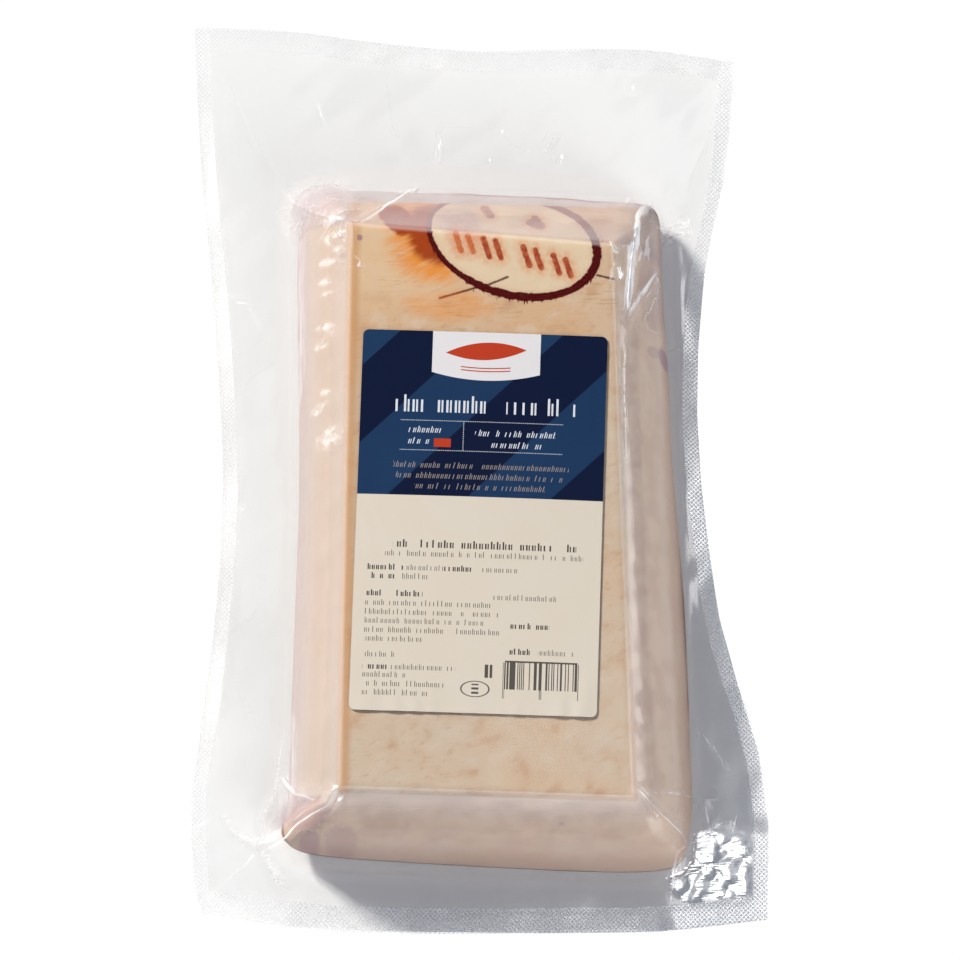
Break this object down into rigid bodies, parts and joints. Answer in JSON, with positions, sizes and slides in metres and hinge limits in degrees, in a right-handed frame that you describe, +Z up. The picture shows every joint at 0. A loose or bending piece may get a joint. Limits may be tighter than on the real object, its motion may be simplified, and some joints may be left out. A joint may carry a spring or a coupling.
{
  "type": "vacuum-packed pork belly slab",
  "caption": "Raw pork belly slab, rind side up, drawn tight in a clear welded vacuum pouch with a wide wavy flange and a paper label on top.",
  "frame": {"origin": "under the middle of the pouch, on the surface it lies on", "axes": "+Z up, +Y along the pouch towards its wide unfilled end (the back), +X to the right"},
  "size_m": [0.2, 0.326, 0.0415],
  "materials": {
    "film_over_rind": "clear glossy film drawn over pale beige rind",
    "label_paper": "satin coated paper, cream below and dark blue above",
    "clear_film": "thick clear glossy film with embossed welds",
    "pork_rind": "moist raw rind with pores, fat and lean at the cut edges"
  },
  "bodies": {
    "root": {"vacuum_bag": "film_over_rind", "label": "label_paper"}
  },
  "joints": []
}
